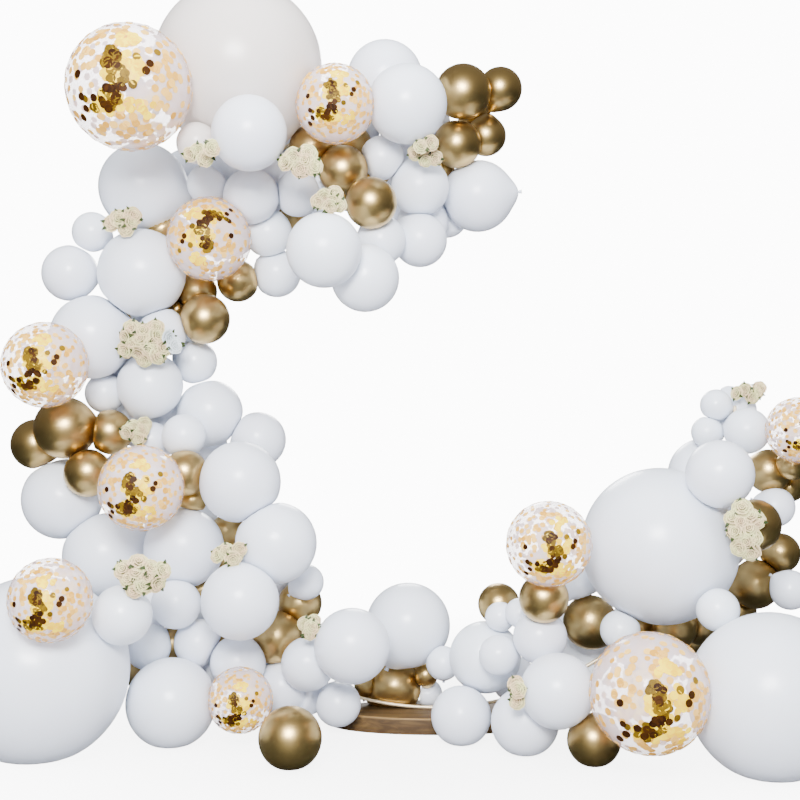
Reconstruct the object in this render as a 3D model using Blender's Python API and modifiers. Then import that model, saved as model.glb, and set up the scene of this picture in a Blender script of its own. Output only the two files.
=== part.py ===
# A balloon garland on an open hoop that stands on an oval board.
# Metres, +Z up, seen from the front along +Y. The origin is under the middle of the board.

import math

import bmesh
import bpy
from mathutils import Vector

# Hoop and board
HOOP_RADIUS = 0.900  # to the middle of the tube
TUBE_RADIUS = 0.005
HOOP_FROM = 84.0  # degrees, from +X towards +Z, where the open hoop starts
HOOP_TO = 360.0
HOOP_STEP = 6.0
BOARD_LENGTH = 0.620
BOARD_WIDTH = 0.250
BOARD_HEIGHT = 0.048
BOARD_EDGE = 0.004

# Balloons: the usual radius of each kind, blown up to suit the hoop
GIANT_RADIUS = HOOP_RADIUS / 3.6
WHITE_RADIUS = GIANT_RADIUS / 2
GOLD_RADIUS = GIANT_RADIUS * 0.28
CONFETTI_RADIUS = WHITE_RADIUS
BACK_RADIUS = WHITE_RADIUS * 0.896
BACK_SWAY = HOOP_RADIUS / 20  # how far the row behind the hoop swings to each side of it
BACK_LEFT = (94.0, 240.0)  # degrees, the stretches of the hoop that this row covers
BACK_RIGHT = (346.0, 300.0)
MEDIUM = WHITE_RADIUS * 0.6  # balloons in front that are above this radius are rounder
NECK_RADIUS = 0.007  # the twisted necks that tie a cluster together
SQUEEZE = 0.25  # share of the smaller radius by which two balloons press into each other
LIGHT_SQUEEZE = 0.015  # the same where two balloons only just touch
FLOOR_SQUEEZE = 0.04  # share of the radius that a balloon on the floor gives way by

# Foam roses
ROSE_RADIUS = 0.028
ROSE_PITCH = ROSE_RADIUS * 1.45
ROSE_DOME = ROSE_RADIUS * 0.6
ROSE_INSET = ROSE_RADIUS * 1.2

GAP = 0.0003  # between pieces that touch
BOARD_SEARCH = 0.001  # the step by which a balloon is moved clear of the board

HOOP_CENTRE = Vector((0, 0, BOARD_HEIGHT + GAP + TUBE_RADIUS + HOOP_RADIUS))
# The balloons are laid along sight lines from here
VIEWER = HOOP_CENTRE + HOOP_RADIUS * Vector((-0.1167, -4.4444, 0.0241))
FRONT = Vector((0, -1, 0))
DOWN = Vector((0, 0, -1))

RADII = {
    "giant": GIANT_RADIUS,
    "white": WHITE_RADIUS,
    "gold": GOLD_RADIUS,
    "confetti": CONFETTI_RADIUS,
}

# Each finish: colour, metallic value, roughness, transmission
FINISHES = {
    "giant": ((0.84, 0.83, 0.84), 0.0, 0.35, 0.0),
    "white": ((0.84, 0.84, 0.88), 0.0, 0.35, 0.0),
    "gold": ((0.62, 0.43, 0.20), 1.0, 0.28, 0.0),
    "confetti": ((0.95, 0.85, 0.70), 0.0, 0.05, 0.8),
    "rose": ((0.90, 0.87, 0.72), 0.0, 0.90, 0.0),
    "hoop": ((0.90, 0.78, 0.55), 1.0, 0.30, 0.0),
    "base": ((0.32, 0.19, 0.10), 0.0, 0.60, 0.0),
}

# The visible balloons from back to front: node, place across and up from the hoop's centre
# as shares of the hoop's radius, and fill as a share of the kind's usual radius.
# Rows with the same node are one cluster, tied together at the necks.
BALLOONS = (
    ("giant_top", -0.657, 1.134, 1.01),
    ("white_top", -0.167, 1.097, 0.91),
    ("gold_top_end", 0.217, 1.061, 0.94),
    ("gold_top_end", 0.170, 0.904, 0.86),
    ("gold_top_end", 0.093, 1.051, 1.20),
    ("gold_top_end", 0.073, 0.877, 1.03),
    ("white_top", -0.093, 1.011, 0.96),
    ("white_top_end", -0.040, 0.617, 0.62),
    ("white_top_inner", -0.050, 0.557, 0.65),
    ("white_top_inner", -0.180, 0.557, 0.60),
    ("white_top_end", -0.050, 0.734, 0.70),
    ("white_top_end", 0.143, 0.704, 0.86),
    ("white_top_inner", -0.233, 0.431, 0.82),
    ("white_top_middle", -0.527, 0.447, 0.58),
    ("white_top_middle", -0.557, 0.581, 0.58),
    ("white_top_inner", -0.370, 0.524, 0.91),
    ("gold_top", -0.277, 0.874, 0.86),
    ("gold_top", -0.407, 0.864, 1.03),
    ("gold_top", -0.307, 0.791, 1.07),
    ("gold_top_low", -0.213, 0.681, 1.11),
    ("white_top_middle", -0.613, 0.704, 0.67),
    ("giant_top", -0.793, 0.881, 0.25),
    ("white_upper", -0.620, 0.914, 0.91),
    ("confetti_2", -0.333, 1.011, 0.96),
    ("white_shoulder_small", -1.143, 0.584, 0.48),
    ("white_shoulder_small", -1.217, 0.447, 0.67),
    ("white_side_outer", -1.143, 0.234, 1.01),
    ("white_shoulder", -0.973, 0.734, 1.06),
    ("gold_side", -0.793, 0.387, 0.86),
    ("gold_side", -0.657, 0.421, 0.90),
    ("gold_side", -0.767, 0.294, 1.07),
    ("white_side", -0.977, 0.447, 1.06),
    ("confetti_1", -1.020, 1.067, 1.51),
    ("confetti_3", -0.753, 0.561, 1.01),
    ("white_side", -0.907, 0.251, 0.58),
    ("white_side_outer", -0.800, 0.151, 0.53),
    ("white_side_outer", -1.100, 0.047, 0.48),
    ("white_side_outer", -0.950, 0.074, 0.79),
    ("white_side_inner", -0.590, -0.109, 0.67),
    ("white_side_inner", -0.750, -0.019, 0.79),
    ("white_side_inner", -0.943, -0.109, 0.43),
    ("white_side_inner", -0.837, -0.096, 0.53),
    ("gold_flank_outer", -1.330, -0.123, 1.07),
    ("gold_flank_outer", -1.233, -0.069, 1.33),
    ("confetti_4", -1.300, 0.141, 1.03),
    ("white_flank_outer", -1.243, -0.306, 0.96),
    ("gold_flank", -1.157, -0.219, 1.03),
    ("gold_flank_inner", -0.833, -0.219, 0.99),
    ("white_flank_inner", -0.650, -0.249, 0.98),
    ("confetti_5", -0.980, -0.269, 1.03),
    ("white_flank", -0.837, -0.469, 0.96),
    ("white_flank_outer", -1.100, -0.493, 1.01),
    ("white_flank_inner", -0.530, -0.453, 0.98),
    ("gold_foot", -0.450, -0.653, 0.94),
    ("giant_left", -1.333, -0.876, 1.12),
    ("confetti_6", -1.283, -0.643, 1.01),
    ("white_foot_left", -0.957, -0.799, 0.55),
    ("giant_left", -1.043, -0.693, 0.36),
    ("white_flank", -0.863, -0.656, 0.60),
    ("gold_foot", -0.530, -0.769, 1.16),
    ("white_flank_inner", -0.650, -0.646, 0.94),
    ("white_foot_left", -0.657, -0.853, 0.67),
    ("white_foot_left", -0.880, -0.986, 1.08),
    ("white_foot", -0.507, -0.933, 0.67),
    ("white_foot", -0.423, -0.856, 0.65),
    ("confetti_7", -0.650, -0.976, 0.79),
    ("gold_floor_left", -0.483, -1.103, 1.37),
    ("gold_bottom", -0.030, -0.893, 0.51),
    ("gold_bottom", -0.137, -0.936, 1.16),
    ("white_bottom", -0.090, -0.726, 1.01),
    ("white_foot", -0.277, -0.796, 0.91),
    ("white_bottom", 0.027, -0.853, 0.41),
    ("white_bottom", 0.167, -0.833, 0.86),
    ("white_bottom", 0.213, -0.826, 0.48),
    ("white_floor", 0.087, -1.029, 0.72),
    ("white_bottom", 0.217, -0.699, 0.36),
    ("white_bottom", 0.283, -0.686, 0.36),
    ("white_bottom", 0.350, -0.766, 0.65),
    ("gold_bend", 0.363, -0.636, 1.07),
    ("gold_bend_right", 0.517, -0.716, 1.16),
    ("white_floor_pair", 0.300, -1.049, 0.82),
    ("gold_floor_right", 0.530, -1.109, 1.16),
    ("white_floor_pair", 0.410, -0.946, 0.91),
    ("gold_under_giant", 0.853, -0.776, 0.77),
    ("gold_under_giant", 0.887, -0.733, 0.77),
    ("gold_under_giant", 0.800, -0.733, 0.94),
    ("giant_right", 0.750, -0.463, 0.94),
    ("giant_right", 0.617, -0.743, 0.24),
    ("confetti_8", 0.380, -0.456, 1.03),
    ("white_right_end", 0.937, 0.007, 0.38),
    ("white_right_end", 0.907, -0.083, 0.38),
    ("white_right_end", 1.040, -0.079, 0.55),
    ("gold_right_high", 1.183, -0.266, 0.64),
    ("gold_right_high", 1.113, -0.213, 0.94),
    ("white_right", 0.950, -0.223, 0.82),
    ("gold_right_low", 1.150, -0.486, 0.86),
    ("gold_right_low", 1.067, -0.589, 1.07),
    ("gold_right", 1.067, -0.393, 1.11),
    ("giant_right", 0.943, -0.676, 0.26),
    ("giant_corner", 1.123, -0.966, 1.01),
    ("confetti_9", 0.717, -0.953, 1.46),
    ("gold_right_high", 1.193, -0.193, 0.64),
    ("confetti_10", 1.213, -0.076, 0.79),
)

# The balloons that sit on the board behind the hoop, pressed flat on it.
BEHIND_HOOP = ("gold_bottom",)

# The larger bunches of foam roses: place as above, then width and height in metres.
ROSES = (
    ("rose_bunch_top", -0.450, 0.822, 0.135, 0.105),
    ("rose_bunch_side", -0.957, 0.217, 0.215, 0.140),
    ("rose_bunch_foot", -0.973, -0.563, 0.165, 0.135),
    ("rose_bunch_right", 1.033, -0.403, 0.120, 0.195),
    ("rose_bunch_shoulder", -1.033, 0.617, 0.125, 0.092),
)


class Balloon:
    def __init__(self, node, centre, radius):
        self.node = node
        self.centre = centre
        self.radius = radius

    def line(self):
        return self.centre - VIEWER

    def gap_to(self, other):
        return (self.centre - other.centre).length - self.radius - other.radius


def sight_line(across, up):
    """From the viewer to a place in the hoop's plane, given in shares of its radius."""
    place = HOOP_CENTRE + HOOP_RADIUS * Vector((across, 0, up))
    return place - VIEWER


def touches(line, radius, ball, own, other):
    """The shares of a sight line at which a balloon that grows along it touches another."""
    start = VIEWER - ball.centre
    square = line.length_squared - (own * radius) ** 2
    slope = line.dot(start) - own * other * radius * ball.radius
    rest = start.length_squared - (other * ball.radius) ** 2
    inside = slope * slope - square * rest
    if inside <= 0:
        return ()
    root = math.sqrt(inside)
    return (-slope - root) / square, (-slope + root) / square


def first_touch(line, radius, ball):
    """Where a balloon pushed back along its sight line presses into one already there."""
    shares = [1.0]
    for own, other in ((1 - SQUEEZE, 1), (1, 1 - SQUEEZE)):
        shares += touches(line, radius, ball, own, other)[:1]
    return min(shares)


def crosses_hoop(centre, radius):
    offset = centre - HOOP_CENTRE
    angle = math.degrees(math.atan2(offset.z, offset.x)) % 360
    if angle < HOOP_FROM and radius < offset.length * math.radians(HOOP_FROM - angle):
        return False
    reach = math.hypot(offset.x, offset.z)
    return abs(reach - HOOP_RADIUS) < radius + TUBE_RADIUS


def meets_board(centre, radius):
    flat = Vector((centre.x / (BOARD_LENGTH / 2), centre.y / (BOARD_WIDTH / 2)))
    shrink = max(flat.length, 1)
    top = min(centre.z, BOARD_HEIGHT)
    nearest = Vector((centre.x / shrink, centre.y / shrink, top))
    return (centre - nearest).length < radius + GAP


def nestle(node, across, up, radius, placed):
    """Pushes a balloon back until it meets another, the floor, the hoop or the board."""
    line = sight_line(across, up)
    if node in BEHIND_HOOP:
        share = (TUBE_RADIUS - VIEWER.y) / (line.y - (1 - SQUEEZE) * radius)
        return Balloon(node, VIEWER + share * line, radius * share)
    share = 1.0
    fall = (1 - FLOOR_SQUEEZE) * radius - line.z
    if fall > 0:
        share = min(share, VIEWER.z / fall)
    for ball in placed:
        share = min(share, first_touch(line, radius, ball))
    if crosses_hoop(VIEWER + share * line, radius * share):
        in_front = (-VIEWER.y - TUBE_RADIUS) / (line.y + (1 - SQUEEZE) * radius)
        share = min(share, in_front)
    while meets_board(VIEWER + share * line, radius * share):
        share -= BOARD_SEARCH
    return Balloon(node, VIEWER + share * line, radius * share)


def back_row(node, stretch):
    """A chain of touching balloons behind the hoop that swings to and fro across it."""
    start, end = stretch
    side = 1 if end > start else -1
    depth = (1 - SQUEEZE) * BACK_RADIUS + TUBE_RADIUS
    spacing = (2 - SQUEEZE) * BACK_RADIUS
    inner = HOOP_RADIUS - BACK_SWAY
    outer = HOOP_RADIUS + BACK_SWAY
    turn_cosine = (inner**2 + outer**2 - spacing**2) / (2 * inner * outer)
    step = math.acos(turn_cosine)
    count = 1 + int(math.radians(abs(end - start)) / step)
    row = []
    for index in range(count):
        angle = math.radians(start) + side * index * step
        reach = outer if index % 2 else inner
        place = Vector((reach * math.cos(angle), depth, reach * math.sin(angle)))
        row.append(Balloon(node, HOOP_CENTRE + place, BACK_RADIUS))
    return row


def groups_of(balls):
    """Sorts the balloons into groups that touch one another."""
    rest = list(balls)
    groups = []
    while rest:
        group = [rest.pop(0)]
        for ball in group:
            near = [other for other in rest if ball.gap_to(other) < 0]
            group += near
            rest = [other for other in rest if other not in near]
        groups.append(group)
    return groups


def held(ball):
    """A balloon that the hoop or the floor holds, or one of the row behind the hoop."""
    on_hoop = crosses_hoop(ball.centre, ball.radius) and abs(ball.centre.y) < ball.radius
    return ball.centre.y > 0 or on_hoop or ball.centre.z < ball.radius - GAP


def gather(balls):
    """Moves each loose group until it touches: along its sight lines, or else straight."""
    near = 1 - LIGHT_SQUEEZE
    for _ in balls:
        loose = [group for group in groups_of(balls) if not any(map(held, group))]
        if not loose:
            break
        group = min(loose, key=len)
        others = [ball for ball in balls if ball not in group]
        slides = []
        for ball in group:
            for other in others:
                slides += touches(ball.line(), ball.radius, other, near, near)
        slide = min(slides, key=lambda share: abs(math.log(share)), default=1)
        for ball in group:
            ball.centre = VIEWER + slide * ball.line()
            ball.radius *= slide
        pairs = [(ball, other) for ball in group for other in others]
        ball, other = min(pairs, key=lambda pair: pair[0].gap_to(pair[1]))
        way = other.centre - ball.centre
        step = max(way.length - near * (ball.radius + other.radius), 0)
        for member in group:
            member.centre = member.centre + way.normalized() * step


def lay_balloons():
    balls = back_row("white_back_left", BACK_LEFT) + back_row("white_back_right", BACK_RIGHT)
    for node, across, up, fill in BALLOONS:
        radius = fill * RADII[node.split("_")[0]]
        balls.append(nestle(node, across, up, radius, balls))
    gather(balls)
    return balls


def contact_planes(ball, balls):
    """The flat faces where a balloon is pressed: a point inside each and its outward way."""
    planes = []
    for other in balls:
        way = other.centre - ball.centre
        if other is ball or other.node == ball.node or ball.gap_to(other) > GAP:
            continue
        apart = way.length
        reach = (apart**2 + ball.radius**2 - other.radius**2) / (2 * apart) - GAP / 2
        planes.append((way.normalized() * reach, way.normalized()))
    if crosses_hoop(ball.centre, ball.radius):
        way = FRONT if ball.centre.y > 0 else -FRONT
        planes.append((way * (abs(ball.centre.y) - TUBE_RADIUS - GAP), way))
    if ball.node in BEHIND_HOOP:
        planes.append((DOWN * (ball.centre.z - BOARD_HEIGHT - GAP), DOWN))
    elif ball.centre.z < ball.radius:
        planes.append((DOWN * ball.centre.z, DOWN))
    return planes


def finish(obj, kind):
    colour, metallic, roughness, clear = FINISHES[kind]
    material = bpy.data.materials.new(f"{obj.name}_finish")
    material.use_nodes = True
    shader = material.node_tree.nodes["Principled BSDF"]
    shader.inputs["Base Color"].default_value = (*colour, 1)
    shader.inputs["Metallic"].default_value = metallic
    shader.inputs["Roughness"].default_value = roughness
    shader.inputs["Transmission Weight"].default_value = clear
    obj.data.materials.append(material)


def mesh_object(name, bm, place, collection):
    bmesh.ops.recalc_face_normals(bm, faces=bm.faces)
    mesh = bpy.data.meshes.new(name)
    bm.to_mesh(mesh)
    bm.free()
    mesh.shade_smooth()
    mesh.set_sharp_from_angle(angle=math.radians(50))
    obj = bpy.data.objects.new(name, mesh)
    obj.location = place
    collection.objects.link(obj)
    return obj


def hide_tool(obj):
    obj.hide_render = True
    obj.display_type = "WIRE"


def weld_on(obj, tool):
    """Joins a helper shape to an object."""
    hide_tool(tool)
    union = obj.modifiers.new(tool.name, "BOOLEAN")
    union.operation = "UNION"
    union.object = tool


def balloon_object(name, ball, balls, collection):
    sides = 6
    if ball.radius > MEDIUM and ball.centre.y < 0:
        sides = 8
    if ball.radius > 0.6 * GIANT_RADIUS:
        sides = 12
    bm = bmesh.new()
    bmesh.ops.create_uvsphere(
        bm, u_segments=sides, v_segments=max(sides // 2, 4), radius=ball.radius
    )
    for point, way in contact_planes(ball, balls):
        whole = bm.verts[:] + bm.edges[:] + bm.faces[:]
        bmesh.ops.bisect_plane(
            bm, geom=whole, dist=1e-6, plane_co=point, plane_no=way, clear_outer=True
        )
        bmesh.ops.holes_fill(bm, edges=bm.edges)
    return mesh_object(name, bm, ball.centre, collection)


def neck_object(name, ball, mate, collection):
    """The twisted necks between two tied balloons."""
    way = mate.centre - ball.centre
    bm = bmesh.new()
    bmesh.ops.create_cone(
        bm, cap_ends=True, segments=4, radius1=NECK_RADIUS, radius2=NECK_RADIUS,
        depth=way.length,
    )
    obj = mesh_object(name, bm, ball.centre + way / 2, collection)
    obj.rotation_mode = "QUATERNION"
    obj.rotation_quaternion = way.to_track_quat("Z", "Y")
    return obj


def make_balloons(balls, parts, tools):
    nodes = {}
    for ball in balls:
        nodes.setdefault(ball.node, []).append(ball)
    for node, cluster in nodes.items():
        main = balloon_object(node, cluster[0], balls, parts)
        for index, ball in enumerate(cluster[1:], 1):
            weld_on(main, balloon_object(f"{node}_member_{index}", ball, balls, tools))
            mate = min(cluster[:index], key=ball.gap_to)
            weld_on(main, neck_object(f"{node}_neck_{index}", ball, mate, tools))
        finish(main, node.split("_")[0])


def rose_heads(width, height):
    """The places of the roses of a bunch, in rows set half a step aside, and their lift."""
    heads = []
    width -= ROSE_INSET
    height -= ROSE_INSET
    row_pitch = ROSE_PITCH * math.cos(math.radians(30))
    rows = int(height / 2 / row_pitch)
    columns = int(width / 2 / ROSE_PITCH) + 1
    for row in range(-rows, rows + 1):
        for column in range(-columns, columns + 1):
            right = (column + row % 2 / 2) * ROSE_PITCH
            up = row * row_pitch
            edge = math.hypot(right / (width / 2), up / (height / 2))
            if edge <= 1:
                heads.append((right, up, ROSE_DOME * (1 - edge**2)))
    return heads


def make_roses(balls, parts, tools):
    for node, across, up, width, height in ROSES:
        middle = sight_line(across, up)
        places = rose_heads(width, height)
        lines = [middle + Vector((right, 0, rise)) for right, rise, _ in places]
        share = 1.0
        for line in lines:
            for ball in balls:
                share = min((share, *touches(line, ROSE_RADIUS + GAP, ball, 1, 1)[:1]))
        heads = []
        for index, (line, place) in enumerate(zip(lines, places)):
            bm = bmesh.new()
            bmesh.ops.create_icosphere(bm, subdivisions=1, radius=ROSE_RADIUS * share)
            centre = VIEWER + share * line - middle.normalized() * place[2]
            home = tools if heads else parts
            name = f"{node}_rose_{index}" if heads else node
            heads.append(mesh_object(name, bm, centre, home))
        for head in heads[1:]:
            weld_on(heads[0], head)
        finish(heads[0], "rose")


def make_hoop(parts):
    curve = bpy.data.curves.new("hoop", "CURVE")
    curve.dimensions = "3D"
    curve.bevel_depth = TUBE_RADIUS
    curve.bevel_resolution = 1
    curve.use_fill_caps = True
    count = round((HOOP_TO - HOOP_FROM) / HOOP_STEP) + 1
    spline = curve.splines.new("POLY")
    spline.points.add(count - 1)
    for index, point in enumerate(spline.points):
        angle = math.radians(HOOP_FROM + index * HOOP_STEP)
        point.co = (HOOP_RADIUS * math.cos(angle), 0, HOOP_RADIUS * math.sin(angle), 1)
    obj = bpy.data.objects.new("hoop", curve)
    obj.location = HOOP_CENTRE
    parts.objects.link(obj)
    finish(obj, "hoop")


def make_board(parts):
    bm = bmesh.new()
    bmesh.ops.create_cone(
        bm, cap_ends=True, segments=28, radius1=1, radius2=1, depth=BOARD_HEIGHT
    )
    bmesh.ops.scale(bm, vec=(BOARD_LENGTH / 2, BOARD_WIDTH / 2, 1), verts=bm.verts)
    obj = mesh_object("base_board", bm, Vector((0, 0, BOARD_HEIGHT / 2)), parts)
    bevel = obj.modifiers.new("rim", "BEVEL")
    bevel.width = BOARD_EDGE
    bevel.segments = 1
    bevel.limit_method = "ANGLE"
    bevel.angle_limit = math.radians(60)
    finish(obj, "base")


def main():
    for obj in list(bpy.data.objects):
        bpy.data.objects.remove(obj, do_unlink=True)
    parts = bpy.data.collections.new("balloon_garland")
    tools = bpy.data.collections.new("helper_shapes")
    bpy.context.scene.collection.children.link(parts)
    bpy.context.scene.collection.children.link(tools)
    make_hoop(parts)
    make_board(parts)
    balls = lay_balloons()
    make_balloons(balls, parts, tools)
    make_roses(balls, parts, tools)


main()
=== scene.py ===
import math
import random

import bpy
import numpy as np
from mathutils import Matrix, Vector


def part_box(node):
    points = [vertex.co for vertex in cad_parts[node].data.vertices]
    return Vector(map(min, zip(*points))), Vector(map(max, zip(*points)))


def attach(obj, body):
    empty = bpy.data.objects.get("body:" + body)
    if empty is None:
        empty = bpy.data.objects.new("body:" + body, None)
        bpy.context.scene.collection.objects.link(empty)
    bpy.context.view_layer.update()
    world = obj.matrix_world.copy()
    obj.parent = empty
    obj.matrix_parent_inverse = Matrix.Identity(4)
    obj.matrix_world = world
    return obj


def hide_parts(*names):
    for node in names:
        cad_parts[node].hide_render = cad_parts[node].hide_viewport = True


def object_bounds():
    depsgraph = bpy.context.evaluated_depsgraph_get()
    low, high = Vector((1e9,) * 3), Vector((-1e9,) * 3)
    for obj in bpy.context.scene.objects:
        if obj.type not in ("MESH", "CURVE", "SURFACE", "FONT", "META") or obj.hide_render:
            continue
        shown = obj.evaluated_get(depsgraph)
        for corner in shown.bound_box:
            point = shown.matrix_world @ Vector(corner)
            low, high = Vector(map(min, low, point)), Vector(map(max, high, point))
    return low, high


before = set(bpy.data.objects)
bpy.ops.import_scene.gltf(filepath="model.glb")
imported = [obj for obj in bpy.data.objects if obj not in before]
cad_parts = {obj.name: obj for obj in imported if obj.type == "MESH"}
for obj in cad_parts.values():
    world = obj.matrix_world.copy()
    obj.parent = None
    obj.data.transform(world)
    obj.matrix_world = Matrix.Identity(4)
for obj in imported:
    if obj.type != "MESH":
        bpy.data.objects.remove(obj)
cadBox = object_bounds()
body = "root"
scene = bpy.context.scene

# The hoop stands on the board. Angles in degrees, from +X towards +Z.
hoop = {
    "radius": 0.900, "tube": 0.005, "from": 84.0, "to": 360.0,
    "steps": 276, "sides": 20, "endSteps": 4,
}
gap = 0.0003  # between pieces that touch
boardLow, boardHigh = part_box("base_board")
boardTop = boardHigh.z
hoopCentre = Vector((0, 0, boardTop + gap + hoop["tube"] + hoop["radius"]))

# The camera stands where the photograph was taken from; the balloons lie along its sight lines
camera = {"fromHoop": (-0.1167, -4.4444, 0.0241), "lens": 60.0, "sensor": 36.0}
viewer = hoopCentre + hoop["radius"] * Vector(camera["fromHoop"])
front = Vector((0, -1, 0))
down = Vector((0, 0, -1))

print("Stage: camera and light")


def addCamera():
    data = bpy.data.cameras.new("camera")
    data.lens = camera["lens"]
    data.sensor_width = camera["sensor"]
    item = bpy.data.objects.new("camera", data)
    item.location = viewer
    item.rotation_euler = (math.radians(90), 0, 0)
    scene.collection.objects.link(item)
    scene.camera = item


# Each softbox: place, where it aims, width, height, power in watts, colour, and whether
# polished things mirror it
softboxes = {
    "key": ((-0.4, -4.3, 2.5), (-0.1, 0, 1.0), 1.4, 1.1, 490, (1.0, 0.99, 0.98), True),
    "top": ((0.0, -1.2, 4.4), (-0.1, 0, 1.0), 3.2, 2.2, 190, (0.93, 0.97, 1.0), False),
    "left": ((-4.2, -2.2, 1.6), (-0.3, 0, 1.0), 1.6, 2.4, 50, (0.97, 0.97, 1.0), False),
    "right": ((4.2, -2.2, 1.6), (0.0, 0, 1.0), 1.6, 2.4, 50, (0.97, 0.97, 1.0), False),
    "back": ((0.0, 4.4, 2.8), (-0.1, 0, 1.0), 1.6, 1.2, 130, (1.0, 1.0, 1.0), True),
}


def addSoftboxes():
    for name, (place, aim, width, height, power, colour, mirrored) in softboxes.items():
        data = bpy.data.lights.new(name, "AREA")
        data.shape = "RECTANGLE"
        data.size = width
        data.size_y = height
        data.energy = power
        data.color = colour
        item = bpy.data.objects.new(name, data)
        item.location = place
        item.visible_glossy = mirrored
        item.rotation_mode = "QUATERNION"
        item.rotation_quaternion = (Vector(place) - Vector(aim)).to_track_quat("Z", "Y")
        scene.collection.objects.link(item)


def addNode(tree, kind, values=None, links=None, **settings):
    node = tree.nodes.new("ShaderNode" + kind)
    for key, value in settings.items():
        setattr(node, key, value)
    for key, value in (values or {}).items():
        node.inputs[key].default_value = value
    for key, source in (links or {}).items():
        tree.links.new(source, node.inputs[key])
    return node


def between(low, high):  # the values of a map range node that it reads from
    return {1: low, 2: high}


def mixColours(tree, share, first, second):
    node = addNode(tree, "Mix", data_type="RGBA")
    sockets = [socket for socket in node.inputs if socket.type == "RGBA"]
    factor = node.inputs[0]
    for socket, value in ((factor, share), (sockets[0], first), (sockets[1], second)):
        if isinstance(value, bpy.types.NodeSocket):
            tree.links.new(value, socket)
        else:
            socket.default_value = value
    return [socket for socket in node.outputs if socket.type == "RGBA"][0]


# A pale room: white behind the object, soft from above, and dim where polished things look
room = {
    "backdrop": (12.0, 12.0, 12.0, 1),
    "softTop": (0.92, 0.94, 1.00, 1),
    "softLow": (0.34, 0.34, 0.40, 1),
    "dimTop": (0.29, 0.27, 0.235, 1),
    "dimLow": (0.018, 0.020, 0.016, 1),
    "floor": (0.90, 0.90, 0.91, 1),
    "floorShade": (0.42, 0.42, 0.44, 1),  # what its bounce light adds
    "floorDim": (0.022, 0.026, 0.022, 1),
    "floorSize": 12.0,
    "floorRoughness": 0.7,
    "horizon": (-0.5, 0.7),  # between these heights of a sight line low turns into top
    "fadeFrom": 0.3,  # metres from the middle where the floor's glow starts to grow
    "fadeTo": 2.4,  # and where it is full
    "glowLeast": 0.45,  # its share of the backdrop's light inside that
}


def makeRoom():
    world = bpy.data.worlds.new("pale_room")
    world.use_nodes = True
    scene.world = world
    tree = world.node_tree
    background = tree.nodes["Background"]
    coords = addNode(tree, "TexCoord")
    axes = addNode(tree, "SeparateXYZ", links={0: coords.outputs["Generated"]})
    height = addNode(tree, "MapRange", between(*room["horizon"]), {0: axes.outputs["Z"]})
    rays = addNode(tree, "LightPath")
    soft = mixColours(tree, height.outputs[0], room["softLow"], room["softTop"])
    dim = mixColours(tree, height.outputs[0], room["dimLow"], room["dimTop"])
    seen = mixColours(tree, rays.outputs["Is Glossy Ray"], soft, dim)
    seen = mixColours(tree, rays.outputs["Is Camera Ray"], seen, room["backdrop"])
    tree.links.new(seen, background.inputs["Color"])


def makeFloor():
    half = room["floorSize"]
    mesh = bpy.data.meshes.new("floor")
    corners = [(-half, -half, 0), (half, -half, 0), (half, half, 0), (-half, half, 0)]
    mesh.from_pydata(corners, [], [(0, 1, 2, 3)])
    item = bpy.data.objects.new("floor", mesh)
    scene.collection.objects.link(item)
    material = bpy.data.materials.new("pale_floor")
    material.use_nodes = True
    tree = material.node_tree
    shader = tree.nodes["Principled BSDF"]
    shader.inputs["Roughness"].default_value = room["floorRoughness"]
    coords = addNode(tree, "TexCoord")
    away = addNode(tree, "VectorMath", links={0: coords.outputs["Object"]}, operation="LENGTH")
    fade = addNode(
        tree, "MapRange", {1: room["fadeFrom"], 2: room["fadeTo"], 3: room["glowLeast"]},
        {0: away.outputs["Value"]}, interpolation_type="SMOOTHSTEP",
    )
    rays = addNode(tree, "LightPath")
    colour = mixColours(
        tree, rays.outputs["Is Camera Ray"], room["floorShade"], room["floor"]
    )
    colour = mixColours(tree, rays.outputs["Is Glossy Ray"], colour, room["floorDim"])
    tree.links.new(colour, shader.inputs["Base Color"])
    share = addNode(
        tree, "Math", links={0: fade.outputs[0], 1: rays.outputs["Is Camera Ray"]},
        operation="MULTIPLY",
    )
    glow = addNode(tree, "Emission", {"Color": room["backdrop"]})
    blend = addNode(
        tree, "MixShader",
        links={0: share.outputs[0], 1: shader.outputs[0], 2: glow.outputs[0]},
    )
    tree.links.new(blend.outputs[0], tree.nodes["Material Output"].inputs["Surface"])
    mesh.materials.append(material)


addCamera()
addSoftboxes()
makeRoom()
makeFloor()

print("Stage: finishes")


# Where the noise turns into a patch or a fleck, and how much flecks add to the height
grainEdges = {"patch": (0.35, 0.65), "fleck": (0.60, 0.72), "fleckHeight": 0.2}


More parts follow.
